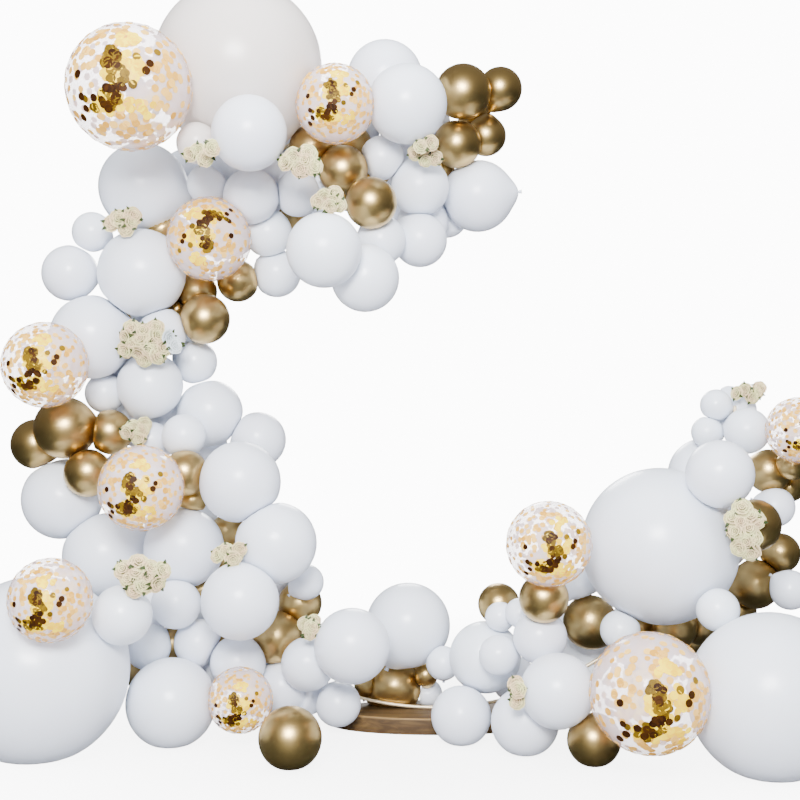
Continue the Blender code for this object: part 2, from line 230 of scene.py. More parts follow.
# Patches, flecks and a tone of its own for each loose form: used by every finish but the wood
def makeGrainGroup():
    group = bpy.data.node_groups.new("grain", "ShaderNodeTree")
    inputs = (
        ("Colour", "NodeSocketColor", (0.8, 0.8, 0.8, 1)),
        ("Second Colour", "NodeSocketColor", (0.6, 0.6, 0.6, 1)),
        ("Patch Size", "NodeSocketFloat", 0.05),
        ("Patch Amount", "NodeSocketFloat", 0.5),
        ("Form Amount", "NodeSocketFloat", 0.5),
        ("Fleck Size", "NodeSocketFloat", 0.002),
        ("Fleck Amount", "NodeSocketFloat", 0.1),
        ("Fleck Colour", "NodeSocketColor", (0.9, 0.9, 0.9, 1)),
        ("Roughness", "NodeSocketFloat", 0.4),
        ("Roughness Spread", "NodeSocketFloat", 0.1),
    )
    outputs = (
        ("Colour", "NodeSocketColor"),
        ("Roughness", "NodeSocketFloat"),
        ("Height", "NodeSocketFloat"),
    )
    for name, kind, value in inputs:
        socket = group.interface.new_socket(name=name, in_out="INPUT", socket_type=kind)
        socket.default_value = value
    for name, kind in outputs:
        group.interface.new_socket(name=name, in_out="OUTPUT", socket_type=kind)
    given = group.nodes.new("NodeGroupInput").outputs
    result = group.nodes.new("NodeGroupOutput").inputs

    def sums(operation, first, second):
        node = addNode(group, "Math", operation=operation)
        for socket, value in zip(node.inputs, (first, second)):
            if isinstance(value, bpy.types.NodeSocket):
                group.links.new(value, socket)
            else:
                socket.default_value = value
        return node.outputs[0]

    coords = addNode(group, "TexCoord").outputs["Object"]
    patchScale = sums("DIVIDE", 1.0, given["Patch Size"])
    fleckScale = sums("DIVIDE", 1.0, given["Fleck Size"])
    patches = addNode(
        group, "TexNoise", {"Detail": 3.0}, {"Vector": coords, "Scale": patchScale}
    ).outputs[0]
    flecks = addNode(
        group, "TexNoise", {"Detail": 2.0}, {"Vector": coords, "Scale": fleckScale}
    ).outputs[0]
    form = addNode(group, "NewGeometry").outputs["Random Per Island"]
    edges = between(*grainEdges["patch"])
    patchShare = addNode(group, "MapRange", edges, {0: patches}).outputs[0]
    share = sums(
        "ADD",
        sums("MULTIPLY", patchShare, given["Patch Amount"]),
        sums("MULTIPLY", form, given["Form Amount"]),
    )
    edges = between(*grainEdges["fleck"])
    fleckShare = addNode(group, "MapRange", edges, {0: flecks}).outputs[0]
    fleckShare = sums("MULTIPLY", fleckShare, given["Fleck Amount"])
    colour = mixColours(group, share, given["Colour"], given["Second Colour"])
    colour = mixColours(group, fleckShare, colour, given["Fleck Colour"])
    group.links.new(colour, result["Colour"])
    spread = sums("MULTIPLY", sums("SUBTRACT", patches, 0.5), given["Roughness Spread"])
    roughness = sums("ADD", sums("ADD", given["Roughness"], spread), fleckShare)
    group.links.new(roughness, result["Roughness"])
    raised = sums("MULTIPLY", flecks, grainEdges["fleckHeight"])
    group.links.new(sums("ADD", patches, raised), result["Height"])
    return group


grainGroup = makeGrainGroup()

# Two colours, size and share of the patches, how far loose forms differ, size, share and
# colour of the flecks, roughness and its spread, height of the bumps; then the plain values
# on the shader
finishes = {
    "whiteLatex": {
        "colours": ((0.83, 0.89, 0.97), (0.8, 0.83, 0.93)),
        "patches": (0.09, 0.25), "forms": 0.75,
        "flecks": (0.0016, 0.05, (0.93, 0.93, 0.92)),
        "roughness": (0.36, 0.12), "bump": 0.0004,
        "shader": {"IOR": 1.5, "Coat Weight": 0.3, "Coat Roughness": 0.2},
    },
    "greyLatex": {
        "colours": ((0.74, 0.69, 0.66), (0.69, 0.63, 0.6)),
        "patches": (0.16, 0.5), "forms": 0.1,
        "flecks": (0.002, 0.05, (0.85, 0.82, 0.8)),
        "roughness": (0.38, 0.12), "bump": 0.0004,
        "shader": {"IOR": 1.5, "Coat Weight": 0.25, "Coat Roughness": 0.2},
    },
    "goldLatex": {
        "colours": ((0.58, 0.41, 0.165), (0.46, 0.33, 0.125)),
        "patches": (0.05, 0.35), "forms": 0.5,
        "flecks": (0.0016, 0.04, (0.75, 0.62, 0.38)),
        "roughness": (0.34, 0.08), "bump": 0.0003,
        "shader": {"Metallic": 1},
    },
    "roseFoam": {
        "colours": ((0.84, 0.84, 0.38), (0.88, 0.64, 0.38)),
        "patches": (0.035, 0.9), "forms": 0.2,
        "flecks": (0.0007, 0.15, (0.93, 0.9, 0.66)),
        "roughness": (0.8, 0.1), "bump": 0.001,
        # the crease colour is painted shade deep between the petals
        "creaseShade": (0.055, 0.06, 0.01),
        "shader": {"Sheen Weight": 0.1, "Sheen Roughness": 0.5},
    },
    "blueFoam": {
        "colours": ((0.78, 0.84, 0.88), (0.72, 0.79, 0.84)),
        "patches": (0.012, 0.4), "forms": 0.4,
        "flecks": (0.0007, 0.15, (0.88, 0.9, 0.9)),
        "roughness": (0.8, 0.1), "bump": 0.0006,
        # the crease colour is painted shade deep between the petals
        "creaseShade": (0.3, 0.36, 0.36),
        "shader": {"Sheen Weight": 0.1, "Sheen Roughness": 0.5},
    },
    "leaf": {
        "colours": ((0.012, 0.022, 0.004), (0.05, 0.08, 0.015)),
        "patches": (0.006, 0.6), "forms": 0.4,
        "flecks": (0.0008, 0.1, (0.25, 0.28, 0.12)),
        "roughness": (0.55, 0.2), "bump": 0.0005,
        "shader": {},
    },
    "hoopMetal": {
        "colours": ((0.9, 0.76, 0.52), (0.82, 0.66, 0.42)),
        "patches": (0.03, 0.5), "forms": 0,
        "flecks": (0.0012, 0.08, (0.95, 0.88, 0.72)),
        "roughness": (0.34, 0.15), "bump": 0.0003,
        "shader": {"Metallic": 0.5},
    },
    # pale discs, with a faint painted glow from the emission
    "palePaintedGlowFoil": {
        "colours": ((0.55, 0.25, 0.004), (0.9, 0.55, 0.12)),
        "patches": (0.004, 0.1), "forms": 1,
        "flecks": (0.0009, 0.1, (0.98, 0.94, 0.86)),
        "roughness": (0.5, 0.1), "bump": 0.0003,
        "shader": {"Emission Color": (1, 0.45, 0.04), "Emission Strength": 0.12},
    },
    "goldFoil": {
        "colours": ((0.055, 0.03, 0.0002), (0.2, 0.115, 0.0006)),
        "patches": (0.004, 0.2), "forms": 0.9,
        "flecks": (0.0009, 0.1, (0.9, 0.7, 0.2)),
        "roughness": (0.5, 0.1), "bump": 0.0003,
        "shader": {"Specular IOR Level": 0.12},
    },
    # painted shade: the gold foil painted near black, as it looks where it mirrors the dim room
    "paintedShadeFoil": {
        "colours": ((0.014, 0.003, 0.0002), (0.05, 0.016, 0.0003)),
        "patches": (0.004, 0.2), "forms": 0.9,
        "flecks": (0.0009, 0.05, (0.4, 0.25, 0.05)),
        "roughness": (0.5, 0.1), "bump": 0.0003,
        "shader": {"Specular IOR Level": 0.12},
    },
    # painted glint: yellow foil that glows by its emission, standing for foil that catches the
    # light
    "paintedGlintFoil": {
        "colours": ((0.62, 0.36, 0.001), (1, 0.74, 0.02)),
        "patches": (0.004, 0.2), "forms": 0.9,
        "flecks": (0.0009, 0.1, (1, 0.97, 0.8)),
        "roughness": (0.3, 0.1), "bump": 0.0003,
        "shader": {
            "Specular IOR Level": 0.2, "Emission Color": (1, 0.6, 0), "Emission Strength": 0.5,
        },
    },
    "clearLatex": {
        "colours": ((1, 0.86, 0.87), (0.96, 0.85, 0.94)),
        "patches": (0.05, 0.5), "forms": 0,
        "flecks": (0.0016, 0.1, (0.98, 0.95, 0.95)),
        "roughness": (0.2, 0.08), "bump": 0.0003,
        "rim": (0.62, 0.42, 0.4),
        "shader": {"Alpha": 0.5, "IOR": 1.45, "Coat Weight": 0.6, "Coat Roughness": 0.06},
    },
}


rimEdges = (0.55, 0.95)  # how far the film turns away where its rim starts and is full
bumpStrength = 0.4


def opaque(colour):
    return (*colour, 1)


def grainValues(finish):
    first, second = finish["colours"]
    patchSize, patchAmount = finish["patches"]
    fleckSize, fleckAmount, fleckColour = finish["flecks"]
    roughness, spread = finish["roughness"]
    return {
        "Colour": opaque(first), "Second Colour": opaque(second),
        "Patch Size": patchSize, "Patch Amount": patchAmount, "Form Amount": finish["forms"],
        "Fleck Size": fleckSize, "Fleck Amount": fleckAmount,
        "Fleck Colour": opaque(fleckColour),
        "Roughness": roughness, "Roughness Spread": spread,
    }


def makeFinish(name):
    finish = finishes[name]
    material = bpy.data.materials.new(name)
    material.use_nodes = True
    tree = material.node_tree
    shader = tree.nodes["Principled BSDF"]
    for key, value in finish["shader"].items():
        shader.inputs[key].default_value = opaque(value) if "Color" in key else value
    grain = tree.nodes.new("ShaderNodeGroup")
    grain.node_tree = grainGroup
    for key, value in grainValues(finish).items():
        grain.inputs[key].default_value = value
    colour = grain.outputs["Colour"]
    if "rim" in finish:  # the film reads darker where one looks along it
        edge = addNode(tree, "LayerWeight", {"Blend": 0.5}).outputs["Facing"]
        edge = addNode(tree, "MapRange", between(*rimEdges), {0: edge}).outputs[0]
        colour = mixColours(tree, edge, colour, opaque(finish["rim"]))
    if "creaseShade" in finish:  # painted shade: a darker colour deep between the petals, fading towards their tips
        tone = addNode(tree, "Attribute", attribute_name="petalUnshaded").outputs["Fac"]
        colour = mixColours(tree, tone, opaque(finish["creaseShade"]), colour)
    tree.links.new(colour, shader.inputs["Base Color"])
    tree.links.new(grain.outputs["Roughness"], shader.inputs["Roughness"])
    bump = addNode(
        tree, "Bump", {"Strength": bumpStrength, "Distance": finish["bump"]},
        {"Height": grain.outputs["Height"]},
    )
    tree.links.new(bump.outputs[0], shader.inputs["Normal"])
    return material


materials = {name: makeFinish(name) for name in finishes}


# Closed forms gathered into one mesh
class Shape:
    def __init__(self):
        self.points = []
        self.faces = []
        self.faceSlots = []
        # share of the full colour at each point; the rest is painted crease shade
        self.tones = []

    def addRings(self, rings, slot=0, firstPole=None, lastPole=None, ringTones=None):
        start = len(self.points)
        sides = len(rings[0])
        for ring in rings:
            self.points.extend(map(tuple, ring))
        faces = []
        for row in range(len(rings) - 1):
            low = start + row * sides
            for side in range(sides):
                following = (side + 1) % sides
                faces.append(
                    (low + side, low + following, low + sides + following, low + sides + side)
                )
        last = start + (len(rings) - 1) * sides
        if firstPole is None:
            faces.append(tuple(range(start + sides - 1, start - 1, -1)))
        else:
            pole = len(self.points)
            self.points.append(tuple(firstPole))
            for side in range(sides):
                faces.append((pole, start + (side + 1) % sides, start + side))
        if lastPole is None:
            faces.append(tuple(range(last, last + sides)))
        else:
            pole = len(self.points)
            self.points.append(tuple(lastPole))
            for side in range(sides):
                faces.append((pole, last + side, last + (side + 1) % sides))
        self.faces += faces
        self.faceSlots += [slot] * len(faces)
        for ringTone in ringTones or [1.0] * len(rings):
            self.tones += [ringTone] * sides
        self.tones += [1.0] * (len(self.points) - len(self.tones))


# Makes a piece of the object from a shape, and hides the model's parts that it stands for
def addPiece(name, shape, materialNames, nodes=(), sharp=50):
    mesh = bpy.data.meshes.new(name)
    mesh.from_pydata(shape.points, [], shape.faces)
    for materialName in materialNames:
        mesh.materials.append(materials[materialName])
    mesh.polygons.foreach_set("material_index", shape.faceSlots)
    # the roses carry their painted crease shade as a point attribute
    if min(shape.tones) < 1:
        tones = mesh.attributes.new("petalUnshaded", "FLOAT", "POINT")
        tones.data.foreach_set("value", shape.tones)
    mesh.shade_smooth()
    mesh.set_sharp_from_angle(angle=math.radians(sharp))
    mesh.update()
    item = bpy.data.objects.new(name, mesh)
    scene.collection.objects.link(item)
    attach(item, body)
    if nodes:
        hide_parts(*nodes)
    return item


def frameAround(way):  # two directions square to a given one
    side = way.cross(Vector((0, 0, 1)))
    if side.length < 0.1:
        side = way.cross(Vector((1, 0, 0)))
    side.normalize()
    return side, way.cross(side).normalized()


def ringOf(middle, right, up, reach, sides):  # points round a middle
    turns = [math.tau * side / sides for side in range(sides)]
    return [middle + reach * (right * math.cos(turn) + up * math.sin(turn)) for turn in turns]


print("Stage: hoop and board")


def makeHoop():
    shape = Shape()
    rings = []
    bends = [math.pi / 2 * step / hoop["endSteps"] for step in range(1, hoop["endSteps"])]
    # share of the way round, then step along it and width in tubes, with a rounded end each way
    stops = [(0, -math.cos(bend), math.sin(bend)) for bend in bends]
    stops += [(step / hoop["steps"], 0, 1) for step in range(hoop["steps"] + 1)]
    stops += [(1, math.cos(bend), math.sin(bend)) for bend in reversed(bends)]
    for share, ahead, swell in stops:
        angle = math.radians(hoop["from"] + share * (hoop["to"] - hoop["from"]))
        out = Vector((math.cos(angle), 0, math.sin(angle)))
        along = Vector((-math.sin(angle), 0, math.cos(angle)))
        middle = hoopCentre + out * hoop["radius"] + along * ahead * hoop["tube"]
        rings.append(ringOf(middle, out, -front, hoop["tube"] * swell, hoop["sides"]))
    shape.addRings(rings)
    addPiece("hoop_tube", shape, ["hoopMetal"], ["hoop"])


# The board is an oval of wood with eased edges
board = {"sides": 144, "ease": 0.004, "easeSteps": 6}
wood = {
    "dark": (0.058, 0.029, 0.007, 1),
    "light": (0.125, 0.070, 0.019, 1),
    # the edge colour is a painted highlight along the board's top edge
    "edge": (0.27, 0.160, 0.055, 1),
    "stretch": (1.2, 22.0, 22.0),  # the grain runs along the board
    "pores": (8.0, 260.0, 260.0),
    "rings": {"Scale": 2.2, "Detail": 5.0, "Distortion": 1.4},
    "bands": (0.35, 0.65),  # where the noise turns from dark to light
    "lines": (0.58, 0.70),  # and where a pore starts and is full
    "lineShare": 0.5,
    "edgeWidth": 0.006,
    "rim": (0.93, 0.97),  # shares of the board's reach where the painted highlight along its top edge starts and is full
    "roughness": (0.45, 0.7),
    "bumpStrength": 0.5,
    "bump": 0.0006,
}


def makeWood():
    material = bpy.data.materials.new("boardWood")
    material.use_nodes = True
    tree = material.node_tree
    shader = tree.nodes["Principled BSDF"]
    coords = addNode(tree, "TexCoord").outputs["Object"]
    along = addNode(tree, "Mapping", {"Scale": wood["stretch"]}, {"Vector": coords})
    fine = addNode(tree, "Mapping", {"Scale": wood["pores"]}, {"Vector": coords})
    rings = addNode(tree, "TexNoise", wood["rings"], {"Vector": along.outputs[0]})
    pores = addNode(
        tree, "TexNoise", {"Scale": 1.0, "Detail": 2.0}, {"Vector": fine.outputs[0]}
    )
    bands = addNode(tree, "MapRange", between(*wood["bands"]), {0: rings.outputs[0]})
    colour = mixColours(tree, bands.outputs[0], wood["dark"], wood["light"])
    steps = {**between(*wood["lines"]), 4: wood["lineShare"]}
    lines = addNode(tree, "MapRange", steps, {0: pores.outputs[0]})
    colour = mixColours(tree, lines.outputs[0], colour, wood["dark"])
    # painted highlight: a lighter band round the top of the board's rim
    height = addNode(tree, "SeparateXYZ", links={0: coords}).outputs["Z"]
    steps = between(boardTop - wood["edgeWidth"], boardTop)
    topBand = addNode(tree, "MapRange", steps, {0: height})
    shares = (1 / boardHigh.x, 1 / boardHigh.y, 0)
    flat = addNode(tree, "Mapping", {"Scale": shares}, {"Vector": coords}).outputs[0]
    outward = addNode(tree, "VectorMath", links={0: flat}, operation="LENGTH")
    rim = addNode(tree, "MapRange", between(*wood["rim"]), {0: outward.outputs["Value"]})
    edgeHighlight = addNode(
        tree, "Math", links={0: topBand.outputs[0], 1: rim.outputs[0]}, operation="MULTIPLY"
    )
    colour = mixColours(tree, edgeHighlight.outputs[0], colour, wood["edge"])
    tree.links.new(colour, shader.inputs["Base Color"])
    steps = dict(zip((3, 4), wood["roughness"]))
    rough = addNode(tree, "MapRange", steps, {0: pores.outputs[0]})
    tree.links.new(rough.outputs[0], shader.inputs["Roughness"])
    bump = addNode(
        tree, "Bump", {"Strength": wood["bumpStrength"], "Distance": wood["bump"]},
        {"Height": pores.outputs[0]},
    )
    tree.links.new(bump.outputs[0], shader.inputs["Normal"])
    materials["boardWood"] = material


def makeBoard():
    halfLength = (boardHigh.x - boardLow.x) / 2
    halfWidth = (boardHigh.y - boardLow.y) / 2
    ease = board["ease"]
    steps = board["easeSteps"]
    bends = [math.pi / 2 * step / steps for step in range(steps + 1)]
    # inset from the edge, then height
    profile = [(ease * (1 - math.sin(bend)), ease * (1 - math.cos(bend))) for bend in bends]
    profile += [(ease * (1 - math.cos(bend)), boardTop - ease * (1 - math.sin(bend)))
                for bend in bends]
    rings = []
    for inset, height in profile:
        right = Vector((halfLength - inset, 0, 0))
        up = Vector((0, halfWidth - inset, 0))
        rings.append(ringOf(Vector((0, 0, height)), right, up, 1, board["sides"]))
    shape = Shape()
    shape.addRings(rings)
    addPiece("oval_board", shape, ["boardWood"], ["base_board"], sharp=40)


makeWood()
makeHoop()
makeBoard()

print("Stage: where each balloon lies")

# Each kind of balloon: radius blown up to its usual size, finish, and sides round it
kinds = {
    "giant": {"radius": 0.250, "material": "whiteLatex", "slot": "white_latex", "sides": 72},
    "white": {"radius": 0.125, "material": "whiteLatex", "slot": "white_latex", "sides": 38},
    "gold": {"radius": 0.070, "material": "goldLatex", "slot": "gold_latex", "sides": 36},
    "confetti": {"radius": 0.125, "material": "clearLatex", "slot": "clear_latex", "sides": 56},
}

layout = {
    "squeeze": 0.25,  # share of the smaller radius by which two balloons press together
    "lightSqueeze": 0.015,  # the same where two balloons only just touch
    "floorSqueeze": 0.04,
    "hiddenRoom": 0.96,  # hidden balloons stay near enough to a neighbour to press on it
    "hiddenFrom": -0.20,  # the depths that are tried for them
    "hiddenTo": 0.20,
    "hiddenStep": 0.01,
    "boardSearch": 0.001,
    "backRadius": 0.112,
    "backSway": 0.045,
    "backLeft": (94.0, 240.0),
    "backRight": (346.0, 300.0),
    "behindHoop": ("gold_bottom",),  # sit on the board behind the hoop, pressed flat on it
}

# The visible balloons from back to front: node, place across and up from the hoop's centre
# as shares of its radius, and fill as a share of the kind's usual radius
balloons = (
    ("giant_top", -0.657, 1.134, 1.01),
    ("white_top", -0.167, 1.097, 0.91),
    ("gold_top_end", 0.217, 1.061, 0.94),
    ("gold_top_end", 0.170, 0.904, 0.86),
    ("gold_top_end", 0.093, 1.051, 1.20),
    ("gold_top_end", 0.073, 0.877, 1.03),
    ("white_top", -0.093, 1.011, 0.96),
    ("white_top_end", -0.040, 0.617, 0.62),
    ("white_top_inner", -0.050, 0.557, 0.65),
    ("white_top_inner", -0.180, 0.557, 0.60),
    ("white_top_end", -0.050, 0.734, 0.70),
    ("white_top_end", 0.143, 0.704, 0.86),
    ("white_top_inner", -0.233, 0.431, 0.82),
    ("white_top_middle", -0.527, 0.447, 0.58),
    ("white_top_middle", -0.557, 0.581, 0.58),
    ("white_top_inner", -0.370, 0.524, 0.91),
    ("gold_top", -0.277, 0.874, 0.86),
    ("gold_top", -0.407, 0.864, 1.03),
    ("gold_top", -0.307, 0.791, 1.07),
    ("gold_top_low", -0.213, 0.681, 1.11),
    ("white_top_middle", -0.613, 0.704, 0.67),
    ("giant_top", -0.793, 0.881, 0.25),
    ("white_upper", -0.620, 0.914, 0.91),
    ("confetti_2", -0.333, 1.011, 0.96),
    ("white_shoulder_small", -1.143, 0.584, 0.48),
    ("white_shoulder_small", -1.217, 0.447, 0.67),
    ("white_side_outer", -1.143, 0.234, 1.01),
    ("white_shoulder", -0.973, 0.734, 1.06),
    ("gold_side", -0.793, 0.387, 0.86),
    ("gold_side", -0.657, 0.421, 0.90),
    ("gold_side", -0.767, 0.294, 1.07),
    ("white_side", -0.977, 0.447, 1.06),
    ("confetti_1", -1.020, 1.067, 1.51),
    ("confetti_3", -0.753, 0.561, 1.01),
    ("white_side", -0.907, 0.251, 0.58),
    ("white_side_outer", -0.800, 0.151, 0.53),
    ("white_side_outer", -1.100, 0.047, 0.48),
    ("white_side_outer", -0.950, 0.074, 0.79),
    ("white_side_inner", -0.590, -0.109, 0.67),
    ("white_side_inner", -0.750, -0.019, 0.79),
    ("white_side_inner", -0.943, -0.109, 0.43),
    ("white_side_inner", -0.837, -0.096, 0.53),
    ("gold_flank_outer", -1.330, -0.123, 1.07),
    ("gold_flank_outer", -1.233, -0.069, 1.33),
    ("confetti_4", -1.300, 0.141, 1.03),
    ("white_flank_outer", -1.243, -0.306, 0.96),
    ("gold_flank", -1.157, -0.219, 1.03),
    ("gold_flank_inner", -0.833, -0.219, 0.99),
    ("white_flank_inner", -0.650, -0.249, 0.98),
    ("confetti_5", -0.980, -0.269, 1.03),
    ("white_flank", -0.837, -0.469, 0.96),
    ("white_flank_outer", -1.100, -0.493, 1.01),
    ("white_flank_inner", -0.530, -0.453, 0.98),
    ("gold_foot", -0.450, -0.653, 0.94),
    ("giant_left", -1.333, -0.876, 1.12),
    ("confetti_6", -1.283, -0.643, 1.01),
    ("white_foot_left", -0.957, -0.799, 0.55),
    ("giant_left", -1.043, -0.693, 0.36),
    ("white_flank", -0.863, -0.656, 0.60),
    ("gold_foot", -0.530, -0.769, 1.16),
    ("white_flank_inner", -0.650, -0.646, 0.94),
    ("white_foot_left", -0.657, -0.853, 0.67),
    ("white_foot_left", -0.880, -0.986, 1.08),
    ("white_foot", -0.507, -0.933, 0.67),
    ("white_foot", -0.423, -0.856, 0.65),
    ("confetti_7", -0.650, -0.976, 0.79),
    ("gold_floor_left", -0.483, -1.103, 1.37),
    ("gold_bottom", -0.030, -0.893, 0.51),
    ("gold_bottom", -0.137, -0.936, 1.16),
    ("white_bottom", -0.090, -0.726, 1.01),
    ("white_foot", -0.277, -0.796, 0.91),
    ("white_bottom", 0.027, -0.853, 0.41),
    ("white_bottom", 0.167, -0.833, 0.86),
    ("white_bottom", 0.213, -0.826, 0.48),
    ("white_floor", 0.087, -1.029, 0.72),
    ("white_bottom", 0.217, -0.699, 0.36),
    ("white_bottom", 0.283, -0.686, 0.36),
    ("white_bottom", 0.350, -0.766, 0.65),
    ("gold_bend", 0.363, -0.636, 1.07),
    ("gold_bend_right", 0.517, -0.716, 1.16),
    ("white_floor_pair", 0.300, -1.049, 0.82),
    ("gold_floor_right", 0.530, -1.109, 1.16),
    ("white_floor_pair", 0.410, -0.946, 0.91),
    ("gold_under_giant", 0.853, -0.776, 0.77),
    ("gold_under_giant", 0.887, -0.733, 0.77),
    ("gold_under_giant", 0.800, -0.733, 0.94),
    ("giant_right", 0.750, -0.463, 0.94),
    ("giant_right", 0.617, -0.743, 0.24),
    ("confetti_8", 0.380, -0.456, 1.03),
    ("white_right_end", 0.937, 0.007, 0.38),
    ("white_right_end", 0.907, -0.083, 0.38),
    ("white_right_end", 1.040, -0.079, 0.55),
    ("gold_right_high", 1.183, -0.266, 0.64),
    ("gold_right_high", 1.113, -0.213, 0.94),
    ("white_right", 0.950, -0.223, 0.82),
    ("gold_right_low", 1.150, -0.486, 0.86),
    ("gold_right_low", 1.067, -0.589, 1.07),
    ("gold_right", 1.067, -0.393, 1.11),
    ("giant_right", 0.943, -0.676, 0.26),
    ("giant_corner", 1.123, -0.966, 1.01),
    ("confetti_9", 0.717, -0.953, 1.46),
    ("gold_right_high", 1.193, -0.193, 0.64),
    ("confetti_10", 1.213, -0.076, 0.79),
)

# Small balloons tucked into the gaps: name, across, up, fill, and depth behind the hoop's plane
tucked = (
    ("white_tucked_top", -0.177, 0.831, 0.53, -0.10),
    ("white_tucked_upper", -0.457, 0.711, 0.55, -0.12),
    ("white_tucked_shoulder", -0.757, 0.744, 0.50, -0.10),
    ("white_tucked_foot", -0.430, -0.583, 0.43, -0.07),
    ("white_tucked_low", -0.790, -0.786, 0.58, -0.12),
    ("white_tucked_bottom", -0.323, -0.989, 0.55, -0.12),
    ("white_tucked_floor", -0.430, -0.945, 0.58, -0.06),
    ("white_tucked_rod", -0.023, -0.953, 0.34, 0.06),
    ("white_tucked_gap", 0.262, -0.905, 0.55, -0.06),
    ("white_tucked_bend", 0.480, -0.603, 0.48, -0.05),
    ("white_tucked_right", 1.133, -0.333, 0.48, -0.05),
    ("white_tucked_edge", 1.183, -0.609, 0.48, -0.07),
    ("white_tucked_end", 0.990, -0.012, 0.58, 0.05),
    ("gold_tucked_side", -1.083, -0.083, 0.97, -0.08),
    ("gold_tucked_flank", -0.810, -0.309, 0.64, -0.10),
    ("gold_tucked_bend", 0.213, -0.656, 0.90, -0.09),
    ("gold_tucked_giant", 0.673, -0.726, 0.77, -0.05),
    ("gold_tucked_rod", -0.222, -0.925, 0.62, 0.055),
)

# Balloons deep in the garland that close the gaps between the others
hidden = (
    ("gold_hidden_shoulder", -0.913, 0.597, 0.75),
    ("gold_hidden_top", -0.200, 0.787, 0.70),
    ("gold_hidden_side", -0.870, 0.341, 0.75),
    ("gold_hidden_flank", -0.690, -0.413, 0.75),
    ("gold_hidden_low", -0.783, -0.593, 0.80),
    ("gold_hidden_foot", -0.873, -0.789, 0.80),
    ("gold_hidden_floor", -1.007, -0.869, 0.75),
    ("gold_hidden_inner", -0.697, -0.769, 0.70),
    ("gold_hidden_right", 1.013, -0.676, 0.75),
    ("gold_hidden_under", 0.667, -0.719, 0.70),
    ("gold_hidden_end", 0.130, 0.965, 0.70),
    ("gold_hidden_band", -0.470, 0.620, 0.60),
    ("gold_hidden_middle", -0.290, 0.700, 0.60),
    ("gold_hidden_tip", 0.020, 0.800, 0.60),
    ("gold_hidden_nook", -0.695, -0.525, 0.60),
    ("gold_hidden_rod", -0.115, -0.860, 0.85),
    ("white_hidden_top", -0.700, 0.800, 0.62),
    ("white_hidden_upper", -0.520, 0.765, 0.62),
    ("white_hidden_inner", -0.397, 0.730, 0.60),
    ("white_hidden_nook", -0.835, 0.790, 0.50),
    ("white_hidden_pair", -0.140, 0.780, 0.50),
    ("white_hidden_tip", 0.040, 0.634, 0.50),
    ("white_hidden_middle", -0.160, 0.624, 0.55),
    ("white_hidden_band", -0.520, 0.651, 0.50),
    ("white_hidden_low", -0.415, 0.640, 0.50),
    ("gold_hidden_outer", -1.017, 0.301, 0.75),
    ("gold_hidden_left", -1.050, -0.010, 0.75),
    ("white_hidden_flank", -0.760, -0.133, 0.50),
    ("white_hidden_foot", -0.943, -0.676, 0.55),
    ("white_hidden_floor", -0.760, -0.855, 0.50),
    ("white_hidden_heel", -0.510, -0.595, 0.50),
)


class Balloon:
    def __init__(self, node, centre, radius):
        self.node = node
        self.centre = centre
        self.radius = radius

    def line(self):
        return self.centre - viewer

    def gapTo(self, other):
        return (self.centre - other.centre).length - self.radius - other.radius


def kindOf(node):
    return kinds[node.split("_")[0]]


def sightLine(across, up):
    return hoopCentre + hoop["radius"] * Vector((across, 0, up)) - viewer


# The shares of a sight line at which a balloon that grows along it touches another
def touches(line, radius, ball, own, other):
    start = viewer - ball.centre
    square = line.length_squared - (own * radius) ** 2
    slope = line.dot(start) - own * other * radius * ball.radius
    rest = start.length_squared - (other * ball.radius) ** 2
    inside = slope * slope - square * rest
    if inside <= 0:
        return ()
    root = math.sqrt(inside)
    return (-slope - root) / square, (-slope + root) / square


def firstTouch(line, radius, ball):
    pressed = 1 - layout["squeeze"]
    shares = [1.0]
    for own, other in ((pressed, 1), (1, pressed)):
        shares += touches(line, radius, ball, own, other)[:1]
    return min(shares)


def crossesHoop(centre, radius):
    offset = centre - hoopCentre
    angle = math.degrees(math.atan2(offset.z, offset.x)) % 360
    short = math.radians(hoop["from"] - angle)
    if angle < hoop["from"] and radius < offset.length * short:
        return False
    reach = math.hypot(offset.x, offset.z)
    return abs(reach - hoop["radius"]) < radius + hoop["tube"]


def meetsBoard(centre, radius):
    halfLength = (boardHigh.x - boardLow.x) / 2
    halfWidth = (boardHigh.y - boardLow.y) / 2
    flat = Vector((centre.x / halfLength, centre.y / halfWidth))
    shrink = max(flat.length, 1)
    nearest = Vector((centre.x / shrink, centre.y / shrink, min(centre.z, boardTop)))
    return (centre - nearest).length < radius + gap


# Pushes a balloon back until it meets another, the floor, the hoop or the board
def nestle(node, across, up, radius, placed):
    line = sightLine(across, up)
    if node in layout["behindHoop"]:
        share = (hoop["tube"] - viewer.y) / (line.y - (1 - layout["squeeze"]) * radius)
        return Balloon(node, viewer + share * line, radius * share)
    share = 1.0
    fall = (1 - layout["floorSqueeze"]) * radius - line.z
    if fall > 0:
        share = min(share, viewer.z / fall)
    for ball in placed:
        share = min(share, firstTouch(line, radius, ball))
    if crossesHoop(viewer + share * line, radius * share):
        held = line.y + (1 - layout["squeeze"]) * radius
        share = min(share, (-viewer.y - hoop["tube"]) / held)
    while meetsBoard(viewer + share * line, radius * share):
        share -= layout["boardSearch"]
    return Balloon(node, viewer + share * line, radius * share)


